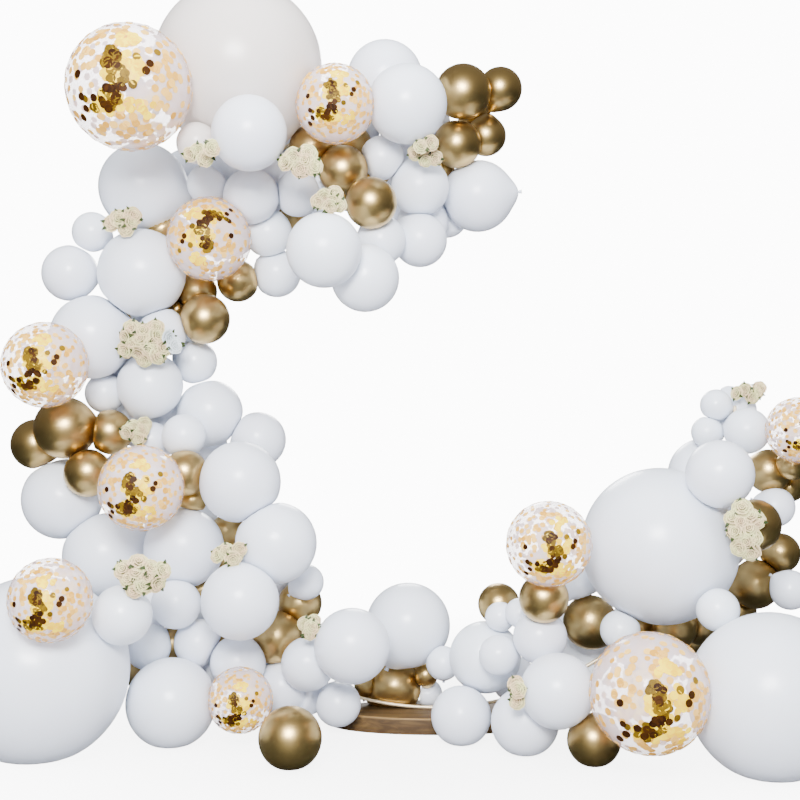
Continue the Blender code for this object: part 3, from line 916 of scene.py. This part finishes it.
# A chain of touching balloons behind the hoop that swings to and fro across it
def backRow(node, stretch):
    start, end = stretch
    side = 1 if end > start else -1
    pressed = 1 - layout["squeeze"]
    radius = layout["backRadius"]
    depth = pressed * radius + hoop["tube"]
    spacing = (1 + pressed) * radius
    inner = hoop["radius"] - layout["backSway"]
    outer = hoop["radius"] + layout["backSway"]
    step = math.acos((inner**2 + outer**2 - spacing**2) / (2 * inner * outer))
    row = []
    for index in range(1 + int(math.radians(abs(end - start)) / step)):
        angle = math.radians(start) + side * index * step
        reach = outer if index % 2 else inner
        place = Vector((reach * math.cos(angle), depth, reach * math.sin(angle)))
        row.append(Balloon(node, hoopCentre + place, radius))
    return row


def groupsOf(balls):
    rest = list(balls)
    groups = []
    while rest:
        group = [rest.pop(0)]
        for ball in group:
            near = [other for other in rest if ball.gapTo(other) < 0]
            group += near
            rest = [other for other in rest if other not in near]
        groups.append(group)
    return groups


def isHeld(ball):
    onHoop = crossesHoop(ball.centre, ball.radius) and abs(ball.centre.y) < ball.radius
    return ball.centre.y > 0 or onHoop or ball.centre.z < ball.radius - gap


# Moves each loose group until it touches: along its sight lines, or else straight
def gather(balls):
    light = 1 - layout["lightSqueeze"]
    for _ in balls:
        loose = [group for group in groupsOf(balls) if not any(map(isHeld, group))]
        if not loose:
            break
        group = min(loose, key=len)
        others = [ball for ball in balls if ball not in group]
        slides = []
        for ball in group:
            for other in others:
                slides += touches(ball.line(), ball.radius, other, light, light)
        slide = min(slides, key=lambda share: abs(math.log(share)), default=1)
        for ball in group:
            ball.centre = viewer + slide * ball.line()
            ball.radius *= slide
        pairs = [(ball, other) for ball in group for other in others]
        ball, other = min(pairs, key=lambda pair: pair[0].gapTo(pair[1]))
        way = other.centre - ball.centre
        step = max(way.length - light * (ball.radius + other.radius), 0)
        for member in group:
            member.centre = member.centre + way.normalized() * step


def layBalloons():
    balls = backRow("white_back_left", layout["backLeft"])
    balls += backRow("white_back_right", layout["backRight"])
    for node, across, up, fill in balloons:
        radius = fill * kindOf(node)["radius"]
        balls.append(nestle(node, across, up, radius, balls))
    gather(balls)
    return balls


def atDepth(name, across, up, fill, depth):
    line = sightLine(across, up)
    share = (depth - viewer.y) / line.y
    return Balloon(name, viewer + share * line, fill * kindOf(name)["radius"] * share)


# How clear of its neighbours a balloon's middle is, as a share of its radius
def roomRound(ball, others):
    rooms = [(other.centre - ball.centre).length - other.radius for other in others]
    return min(rooms) / ball.radius


# Whether a balloon lies in front of one that shows and would hide some of it
def inFrontOf(ball, other):
    apart = ball.line().angle(other.line()) * other.line().length
    showing = "_back_" not in other.node
    return showing and apart < ball.radius + other.radius and ball.centre.y < other.centre.y


def layTucked(balls):
    found = [atDepth(*row) for row in tucked]
    steps = round((layout["hiddenTo"] - layout["hiddenFrom"]) / layout["hiddenStep"])
    depths = [layout["hiddenFrom"] + step * layout["hiddenStep"] for step in range(steps)]
    for name, across, up, fill in hidden:
        others = balls + found
        tries = [atDepth(name, across, up, fill, depth) for depth in depths]
        tries = [ball for ball in tries if ball.centre.y + ball.radius < cadBox[1][1]]
        behind = [ball for ball in tries if not any(inFrontOf(ball, other) for other in others)]
        behind = behind or tries[-1:]
        pressed = [ball for ball in behind if roomRound(ball, others) < layout["hiddenRoom"]]
        if pressed:
            found.append(max(pressed, key=lambda ball: roomRound(ball, others)))
        else:
            found.append(min(behind, key=lambda ball: roomRound(ball, others)))
    return found


balls = layBalloons()
tuckedBalls = layTucked(balls)

print("Stage: balloons")

skin = {
    "softness": 26.0,  # how tight the bend is at the rim of a pressed face
    "taper": 0.13,  # how far the skin draws out to the neck, as a share of the radius
    "taperDegrees": 19.0,
    "neckFrom": 150.0,  # degrees from the crown, where the rings grow closer together
    "neckRadius": 0.0042,
    "neckLength": 0.011,
    "lipRadius": 0.0075,
    "neckAngles": (24, 18, 13.5, 10, 7.5, 5.5, 4),  # degrees from the neck, of the last rings
    # share of the neck's length, then of its radius or of the lip's
    "neckSteps": ((0.0, 1.0), (0.25, 0.9), (0.4, 1.5), (0.55, 1.6), (0.7, 0.9)),
    "lipSteps": ((0.85, 0.9), (0.95, 1.0), (1.0, 0.85), (0.97, 0.5)),
    "lipHollow": 0.9,
    "leastDepth": 0.2,  # a pressed face stays this far from the middle, as a share of the radius
    "facingFrom": 0.05,
}
# More sides for balloons above one radius, fewer below another and where they hardly show
sidesBy = {"largeFrom": 0.125, "large": 48, "smallTo": 0.075, "small": 36, "tucked": 28}
# The ways a neck can point, and what each way costs
neckChoice = {
    "tries": 90,
    "frontCost": 1.2,
    "pressedCost": 2.0,
    "pressedFrom": 0.6,
    "reach": 1.15,
    "inConfettiCost": 1.5,
    "inBalloonCost": 0.5,
    "groundCost": 3.0,
}
# Necks that show: the balloon's node and number in its cluster, and the way the neck points
neckWays = {("white_top_end", 2): (1.0, -0.15, 0.08)}


def overBoard(ball):
    return Vector((ball.centre.x / boardHigh.x, ball.centre.y / boardHigh.y)).length < 1


# Flat faces where a balloon is pressed: how far from its centre, and which way
def pressedFaces(ball, others, givesWay):
    faces = []
    for other in others:
        way = other.centre - ball.centre
        if other is ball or ball.gapTo(other) > gap:
            continue
        apart = way.length
        depth = (apart**2 + ball.radius**2 - other.radius**2) / (2 * apart) - gap / 2
        if givesWay:
            depth = max(apart - other.radius - gap, skin["leastDepth"] * ball.radius)
        faces.append((depth, np.array(way.normalized())))
    if crossesHoop(ball.centre, ball.radius) and abs(ball.centre.y) < ball.radius:
        way = (front if ball.centre.y > 0 else -front) * abs(ball.centre.y)
        if ball.node in layout["behindHoop"]:  # gives way only where the tube lies on it
            offset = ball.centre - hoopCentre
            flat = Vector((offset.x, 0, offset.z)).normalized()
            way = hoopCentre + flat * hoop["radius"] - ball.centre
        depth = way.length - hoop["tube"] - gap
        depth = max(depth, skin["leastDepth"] * ball.radius)
        faces.append((depth, np.array(way.normalized())))
    ground = boardTop + gap if overBoard(ball) else 0
    if ground < ball.centre.z < ground + ball.radius:
        faces.append((ball.centre.z - ground, np.array(down)))
    return faces


# How far the skin is from the centre along each direction
def skinReach(directions, reach, radius, faces):
    total = (reach / radius) ** -skin["softness"]
    for depth, way in faces:
        slope = directions @ way
        facing = slope > skin["facingFrom"]
        total[facing] += (depth / radius / slope[facing]) ** -skin["softness"]
    return radius * total ** (-1 / skin["softness"])


goldenTurn = math.pi * (3 - math.sqrt(5))


def spread(count):  # directions spread evenly over a sphere
    found = []
    for index in range(count):
        height = 1 - (2 * index + 1) / count
        reach = math.sqrt(1 - height * height)
        turn = index * goldenTurn
        found.append((reach * math.cos(turn), reach * math.sin(turn), height))
    return np.array(found)


# Points the neck at the hoop, but into a gap and out of sight
def neckWay(ball, others, faces):
    offset = ball.centre - hoopCentre
    flat = Vector((offset.x, 0, offset.z)).normalized()
    inward = np.array((hoopCentre + flat * hoop["radius"] - ball.centre).normalized())
    choice = neckChoice
    ways = spread(choice["tries"])
    score = ways @ inward - choice["frontCost"] * np.maximum(ways @ np.array(front), 0)
    for _, way in faces:
        score -= choice["pressedCost"] * np.maximum(ways @ way - choice["pressedFrom"], 0)
    tips = np.array(ball.centre) + ways * (ball.radius * choice["reach"] + skin["neckLength"])
    for other in others:
        if other is not ball:
            inside = np.linalg.norm(tips - np.array(other.centre), axis=1) < other.radius
            seen = other.node.startswith("confetti")
            score[inside] -= choice["inConfettiCost" if seen else "inBalloonCost"]
    score[tips[:, 2] < (boardTop if overBoard(ball) else 0)] -= choice["groundCost"]
    return Vector(ways[int(np.argmax(score))])


def addBalloon(shape, ball, way, faces, sides):
    along = np.array(way)
    right, up = (np.array(axis) for axis in frameAround(way))
    crown = np.array([-along])
    angles = list(np.linspace(0, skin["neckFrom"], sides // 2 + 1)[1:])
    angles += [180 - rest for rest in skin["neckAngles"]]
    turns = np.arange(sides) * math.tau / sides
    around = np.outer(np.cos(turns), right) + np.outer(np.sin(turns), up)
    centre = np.array(ball.centre)
    rings = []
    for angle in angles:
        ways = -along * math.cos(math.radians(angle)) + around * math.sin(math.radians(angle))
        draw = skin["taper"] * math.exp(-(((180 - angle) / skin["taperDegrees"]) ** 2))
        reach = np.full(sides, ball.radius * (1 + draw))
        reach = skinReach(ways, reach, ball.radius, faces)
        rings.append(centre + ways * reach[:, None])
    tip = skinReach(np.array([along]), np.array([ball.radius * (1 + skin["taper"])]),
                    ball.radius, faces)[0]
    size = math.sqrt(ball.radius / kinds["white"]["radius"])
    length = skin["neckLength"] * size
    steps = [(share, skin["neckRadius"] * size * width) for share, width in skin["neckSteps"]]
    steps += [(share, skin["lipRadius"] * size * width) for share, width in skin["lipSteps"]]
    for share, width in steps:
        rings.append(centre + along * (tip + share * length) + around * width)
    pole = centre + along * (tip + skin["lipHollow"] * length)
    top = skinReach(crown, np.array([ball.radius]), ball.radius, faces)[0]
    shape.addRings(rings, 0, firstPole=centre - along * top, lastPole=pole)


confettiBalls = []


def makeBalloons():
    clusters = {}
    for ball in balls:
        clusters.setdefault(ball.node, []).append(ball)
    for node, cluster in clusters.items():
        kind = kindOf(node)
        shape = Shape()
        for index, ball in enumerate(cluster):
            faces = pressedFaces(ball, balls, False)
            way = neckWays.get((node, index))
            way = Vector(way).normalized() if way else neckWay(ball, balls, faces)
            sides = kind["sides"]
            if ball.radius > sidesBy["largeFrom"]:
                sides = max(sides, sidesBy["large"])
            if ball.radius < sidesBy["smallTo"]:
                sides = min(sides, sidesBy["small"])
            addBalloon(shape, ball, way, faces, sides)
            if node.startswith("confetti"):
                confettiBalls.append((ball, faces))
        material = "greyLatex" if node == "giant_top" else kind["material"]
        addPiece(f"{node}_balloon", shape, [material], [node], sharp=70)
    for ball in tuckedBalls:
        kind = kindOf(ball.node)
        others = balls + [other for other in tuckedBalls if other is not ball]
        faces = pressedFaces(ball, others, True)
        shape = Shape()
        way = neckWay(ball, others, faces)
        addBalloon(shape, ball, way, faces, sidesBy["tucked"])
        addPiece(f"{ball.node}_balloon", shape, [kind["material"]], sharp=70)


makeBalloons()

print("Stage: confetti")

# Sizes are shares of the balloon's radius. The discs lie on the outer face of the film.
confetti = {
    "size": 0.062,
    "thickness": 0.004,
    "set": 1.0015,
    "step": 0.0025,  # how much further out each following foil lies
    "lift": 0.003,  # and by how much the discs of one foil differ
    "sides": 10,
    "paleCount": 215,
    "paleSizes": (0.75, 1.1),
    "strongSizes": (0.95, 1.2),
    "nudge": 0.09,
    "tilt": 0.035,
    "turned": ("confetti_3",),  # lies the other way up
}
# Where the strong discs crowd together: foil, across, up, spread both ways, and how many
heaps = (
    # the glowing foil's heaps are painted glints
    ("paintedGlintFoil", 0.08, 0.08, 0.32, 0.28, 46),
    ("paintedGlintFoil", 0.13, 0.55, 0.19, 0.12, 16),
    ("paintedGlintFoil", -0.12, -0.42, 0.32, 0.17, 26),
    ("paintedGlintFoil", 0.30, -0.50, 0.24, 0.14, 12),
    ("palePaintedGlowFoil", 0.05, -0.66, 0.55, 0.22, 30),
    ("palePaintedGlowFoil", -0.55, 0.30, 0.24, 0.34, 14),
    ("palePaintedGlowFoil", 0.64, -0.05, 0.20, 0.45, 18),
    ("palePaintedGlowFoil", -0.10, 0.66, 0.30, 0.16, 12),
    ("goldFoil", -0.08, 0.22, 0.13, 0.17, 26),
    ("goldFoil", 0.03, -0.05, 0.15, 0.14, 16),
    ("goldFoil", -0.16, -0.43, 0.26, 0.14, 14),
    ("paintedShadeFoil", -0.06, 0.14, 0.10, 0.14, 4),
    ("paintedShadeFoil", -0.02, -0.27, 0.15, 0.12, 10),
    ("paintedShadeFoil", -0.16, -0.44, 0.14, 0.09, 7),
)
# Single strong discs: across, up, and foil
singles = (
    (-0.62, 0.02, "paintedShadeFoil"), (-0.57, -0.32, "paintedShadeFoil"), (-0.51, -0.49, "paintedShadeFoil"),
    (-0.51, -0.36, "goldFoil"), (-0.36, -0.36, "paintedShadeFoil"), (-0.36, -0.48, "goldFoil"),
    (0.03, 0.26, "paintedShadeFoil"), (-0.06, 0.30, "paintedShadeFoil"), (0.12, -0.03, "goldFoil"),
    (0.25, -0.18, "goldFoil"), (0.49, 0.16, "paintedShadeFoil"), (0.44, 0.04, "paintedShadeFoil"),
    (0.58, 0.36, "goldFoil"), (0.30, 0.25, "goldFoil"), (-0.58, -0.60, "paintedShadeFoil"),
)
foils = ["palePaintedGlowFoil", "paintedGlintFoil", "goldFoil", "paintedShadeFoil"]  # from the lowest to the topmost


def jitter(draw, amount):
    return Vector([draw.uniform(-amount, amount) for _ in range(3)])


def addDisc(shape, ball, faces, way, tilt, size, slot, lift):
    direction = Vector(way).normalized()
    reach = skinReach(np.array([direction]), np.array([ball.radius]), ball.radius, faces)[0]
    outward = confetti["set"] + confetti["step"] * slot + lift
    centre = ball.centre + direction * reach * outward
    normal = (direction + tilt).normalized()
    right, up = frameAround(normal)
    half = normal * confetti["thickness"] * ball.radius / 2
    rings = [ringOf(centre + shift, right, up, size * ball.radius, confetti["sides"])
             for shift in (-half, half)]
    shape.addRings(rings, slot)


def strongDiscs(draw):
    found = list(singles)
    for foil, across, up, wide, high, count in heaps:
        for _ in range(count):
            reach, turn = math.sqrt(draw.random()), draw.uniform(0, math.tau)
            found.append((across + wide * reach * math.cos(turn),
                          up + high * reach * math.sin(turn), foil))
    return found


def makeConfetti():
    for number, (ball, faces) in enumerate(confettiBalls):
        draw = random.Random(number)
        shape = Shape()
        roll = -1 if ball.node in confetti["turned"] else 1
        for way in spread(confetti["paleCount"]):
            size = confetti["size"] * draw.uniform(*confetti["paleSizes"])
            addDisc(shape, ball, faces, Vector(way) + jitter(draw, confetti["nudge"]),
                    jitter(draw, confetti["tilt"]), size, 0, 0)
        for across, up, foil in strongDiscs(draw):
            for side in (-1, 1):  # on the near side, and again on the far one
                way = Vector((roll * across, side * math.sqrt(1 - across**2 - up**2), roll * up))
                size = confetti["size"] * draw.uniform(*confetti["strongSizes"])
                addDisc(shape, ball, faces, way, jitter(draw, confetti["tilt"]), size,
                        foils.index(foil), draw.uniform(0, confetti["lift"]))
        addPiece(f"{ball.node}_discs", shape, foils, sharp=30)


makeConfetti()

print("Stage: roses")

# Bunches that stand for a node: place, width and height in metres, and number of roses
nodeBunches = (
    ("rose_bunch_top", -0.450, 0.822, 0.135, 0.105, 6),
    ("rose_bunch_side", -0.957, 0.217, 0.215, 0.140, 16),
    ("rose_bunch_foot", -0.973, -0.563, 0.165, 0.135, 10),
    ("rose_bunch_right", 1.033, -0.403, 0.120, 0.195, 11),
    ("rose_bunch_shoulder", -1.033, 0.617, 0.125, 0.092, 5),
)
# Smaller bunches that only the scene has
smallBunches = (
    ("roses_upper", -0.770, 0.847, 0.120, 0.078, 5),
    ("roses_middle", -0.353, 0.691, 0.105, 0.090, 6),
    ("roses_end", -0.033, 0.854, 0.102, 0.111, 6),
    ("roses_flank", -0.990, -0.079, 0.102, 0.087, 5),
    ("roses_inner", -0.677, -0.489, 0.120, 0.072, 5),
    ("roses_low", -0.420, -0.733, 0.084, 0.078, 4),
    ("roses_bend", 0.273, -0.943, 0.045, 0.105, 3),
    ("roses_right_end", 1.055, 0.050, 0.125, 0.070, 5),
)
rose = {
    "room": 0.028,  # how far a large bunch stands off the balloons behind it
    "largeHead": 0.0235,  # the petals' own reach
    "smallHead": 0.0200,
    "margin": 1.55,  # reaches of a head by which the oval of heads is narrower than the bunch
    "dome": 0.012,
    "depth": 0.85,  # of a head, as a share of its reach
    "sheet": 0.05,  # the foam's thickness, as a share of the reach
    "stretch": 1.25,  # of the petals' own heights
    "turnedSides": 14,
    "crown": 0.03,
    "lean": 9,  # how far the heads fan out from the middle of their bunch
    "wander": 0.25,
    "sizes": (0.92, 1.06),
    "stray": 1.012,  # how far a loose head may settle behind the first of its bunch
    "heartTone": 0.5,  # shares of the full colour; the rest is the painted crease shade
    "cushionTone": 0.1,
    "leastOval": 0.01,  # metres
    "firstDraw": 100,  # seeds of the large bunches' draws, then of the small ones'
    "firstSmallDraw": 200,
    "blue": {"rose_bunch_side": 0.045},  # heads further right than this are pale blue
}
flowerFinishes = ["roseFoam", "leaf", "blueFoam"]
# Length, lift and out are shares of the head's reach; width, bend and thickness of the length
leaf = {
    "count": 3, "length": 0.85, "width": 0.24, "bend": 0.25, "fold": 0.25, "thickness": 0.012,
    "steps": (0.02, 0.2, 0.4, 0.6, 0.8, 0.97), "tilt": 0.15, "lift": 0.15, "out": 0.55,
}
# From and root are shares of the head's reach; the width is in metres
stem = {"sides": 6, "steps": (0, 0.33, 0.66, 1), "width": 0.0011, "from": 0.3, "root": 1.3}
# Rings of petals from the heart outwards: count, reach, height, half width in degrees, curl
petalRings = (
    (3, 0.27, 1.00, 82, 0.05),
    (4, 0.46, 0.96, 66, 0.12),
    (5, 0.70, 0.84, 56, 0.20),
    (6, 0.96, 0.62, 50, 0.30),
)
# The curves of a petal's sheet, as shares of its head's reach and height
petalCurve = {
    "widths": (0.92, 1.08),  # how much petals differ
    "lifts": (0.93, 1.05),
    "tipRound": 0.20,
    "waist": 0.55,
    "waistTurn": 2.2,
    "heel": 0.30,
    "swell": 0.6,
    "curlFrom": 0.6,
    "curlOut": 1.6,
    "overlap": 0.035,
    "waveOut": 0.030,
    "waveOutTurn": 7.0,
    "rise": 1.1,
    "dropFrom": 0.75,
    "drop": 2.0,
    "waveUp": 0.03,
    "waveUpTurn": 3.0,
    "tonePower": 3.0,  # how fast the painted crease shade fades towards a petal's edge
}
petalRows = (0.0, 0.35, 0.65, 0.86, 1.0)
petalColumns = (-1.0, -0.6, -0.2, 0.2, 0.6, 1.0)
# The closed heart and the cushion that the petals sit on: share of the reach, then of the height
heartProfile = ((0.10, 0.2), (0.15, 0.6), (0.15, 0.86), (0.10, 0.95))
cushionProfile = ((0.45, 0.02), (0.84, 0.20), (0.74, 0.42), (0.52, 0.62), (0.26, 0.74))


# Heads spread evenly over an oval: right, up and lift
def sunflower(width, height, count, dome):
    heads = []
    for index in range(count):
        reach = math.sqrt((index + 0.5) / count)
        turn = index * goldenTurn
        heads.append((reach * width / 2 * math.cos(turn), reach * height / 2 * math.sin(turn),
                      dome * (1 - reach**2)))
    return heads


def addTurned(shape, base, way, reach, profile, tone, slot):
    right, up = frameAround(way)
    rise = way * reach * rose["depth"] * rose["stretch"]
    rings = [ringOf(base + rise * height, right, up, reach * width, rose["turnedSides"])
             for width, height in profile]
    top = base + rise * (profile[-1][1] + rose["crown"])
    shape.addRings(rings, slot, lastPole=top, ringTones=[tone] * len(profile))


def addRose(shape, centre, way, reach, draw, slot):
    right, up = frameAround(way)
    base = centre - way * reach * rose["depth"] / 2
    addTurned(shape, base, way, reach, heartProfile, rose["heartTone"], slot)
    addTurned(shape, base, way, reach, cushionProfile, rose["cushionTone"], slot)
    curve = petalCurve
    for ringIndex, (count, width, height, spreadDegrees, curl) in enumerate(petalRings):
        offset = draw.uniform(0, math.tau)
        for petal in range(count):
            middle = offset + math.tau * petal / count
            half = math.radians(spreadDegrees) * draw.uniform(*curve["widths"])
            lift = draw.uniform(*curve["lifts"])
            wave = draw.uniform(0, math.tau)
            rings = []
            for share in petalRows:
                near, far = [], []
                for across in petalColumns:
                    rise = share * (1 - curve["tipRound"] * across**4)
                    waist = (1 - curve["waist"]) * math.sin(rise * curve["waistTurn"])
                    angle = middle + half * across * (curve["waist"] + waist)
                    out = width * (curve["heel"] + (1 - curve["heel"]) * rise**curve["swell"])
                    out += curl * max(rise - curve["curlFrom"], 0) * curve["curlOut"]
                    out += curve["overlap"] * across * (ringIndex + 1) / 2
                    ripple = math.sin(curve["waveOutTurn"] * across + wave)
                    out += curve["waveOut"] * ripple * share**3
                    top = height * lift * (math.sin(rise * math.pi / 2) ** curve["rise"])
                    top -= curl * max(rise - curve["dropFrom"], 0) * curve["drop"]
                    ripple = math.sin(curve["waveUpTurn"] * across + wave)
                    top += curve["waveUp"] * ripple * share
                    spot = right * math.cos(angle) + up * math.sin(angle)
                    place = base + reach * (
                        spot * out + way * top * rose["depth"] * rose["stretch"]
                    )
                    inner = place - spot * rose["sheet"] * reach
                    far.append(place)
                    near.append(inner)
                rings.append(far + near[::-1])
            tones = [share ** curve["tonePower"] for share in petalRows]
            shape.addRings(rings, slot, ringTones=tones)


def addLeaf(shape, start, way, side, length, slot):
    rings = []
    normal = way.cross(side).normalized()
    for share in leaf["steps"]:
        width = length * leaf["width"] * math.sin(math.pi * share**0.8)
        bend = normal * length * leaf["bend"] * share**2
        middle = start + way * length * share + bend
        fold = normal * width * leaf["fold"]
        thick = normal * length * leaf["thickness"]
        rings.append([
            middle - side * width - fold + thick, middle + thick,
            middle + side * width - fold + thick, middle + side * width - fold - thick,
            middle - thick, middle - side * width - fold - thick,
        ])
    shape.addRings(rings, slot)


def addStem(shape, start, end, width, slot):
    right, up = frameAround((end - start).normalized())
    rings = [ringOf(start.lerp(end, share), right, up, width, stem["sides"])
             for share in stem["steps"]]
    shape.addRings(rings, slot)


# How far along a sight line a head settles: where it meets a balloon, or passes one closest
def settle(line, room, balls):
    shares = [touches(line, room + gap, ball, 1, 1)[:1] for ball in balls]
    met = [share[0] for share in shares if share]
    if met:
        return min(met)
    passing = [(line.dot(ball.centre - viewer) / line.length_squared, ball) for ball in balls]
    return min(passing, key=lambda row: (viewer + row[0] * line - row[1].centre).length
               - row[1].radius)[0]


def makeBunch(name, across, up, heads, room, reach, draw, nodes=(), blueFrom=None):
    middle = sightLine(across, up)
    lines = [middle + Vector((right, 0, rise)) for right, rise, _ in heads]
    share = min(settle(line, room, balls) for line in lines)
    shape = Shape()
    centres = []
    for line, place in zip(lines, heads):
        own = share
        if not nodes:  # a loose head settles on its own, but stays with its bunch
            own = min(settle(line, room, balls + tuckedBalls), share * rose["stray"])
        centres.append(viewer + own * line - middle.normalized() * place[2])
    heart = sum(centres, Vector()) / len(centres)
    root = heart + middle.normalized() * reach * stem["root"]
    green = flowerFinishes.index("leaf")
    for centre, place in zip(centres, heads):
        lean = (centre - heart) * rose["lean"]
        way = (-middle.normalized() + lean).normalized()
        way = (way + jitter(draw, rose["wander"])).normalized()
        isBlue = blueFrom is not None and place[0] > blueFrom
        slot = flowerFinishes.index("blueFoam" if isBlue else "roseFoam")
        addRose(shape, centre, way, reach * draw.uniform(*rose["sizes"]), draw, slot)
        addStem(shape, centre - way * reach * stem["from"], root, stem["width"], green)
        right, rise = frameAround(way)
        for _ in range(leaf["count"]):
            turn = draw.uniform(0, math.tau)
            side = right * math.cos(turn) + rise * math.sin(turn)
            out = right * -math.sin(turn) + rise * math.cos(turn)
            leafWay = (out + way * leaf["tilt"]).normalized()
            start = centre + way * reach * leaf["lift"] + out * reach * leaf["out"]
            addLeaf(shape, start, leafWay, side, reach * leaf["length"], green)
    addPiece(f"{name}_flowers", shape, flowerFinishes, nodes, sharp=60)


def makeRoses():
    for number, (node, across, up, width, height, count) in enumerate(nodeBunches):
        reach = rose["largeHead"]
        margin = rose["margin"] * reach
        heads = sunflower(width - margin, height - margin, count, rose["dome"])
        draw = random.Random(rose["firstDraw"] + number)
        makeBunch(node, across, up, heads, rose["room"], reach, draw, [node],
                  rose["blue"].get(node))
    for number, (name, across, up, width, height, count) in enumerate(smallBunches):
        reach = rose["smallHead"]
        margin = rose["margin"] * reach
        wide = max(width - margin, rose["leastOval"])
        high = max(height - margin, rose["leastOval"])
        heads = sunflower(wide, high, count, rose["dome"] / 2)
        draw = random.Random(rose["firstSmallDraw"] + number)
        makeBunch(name, across, up, heads, reach, reach, draw)


makeRoses()
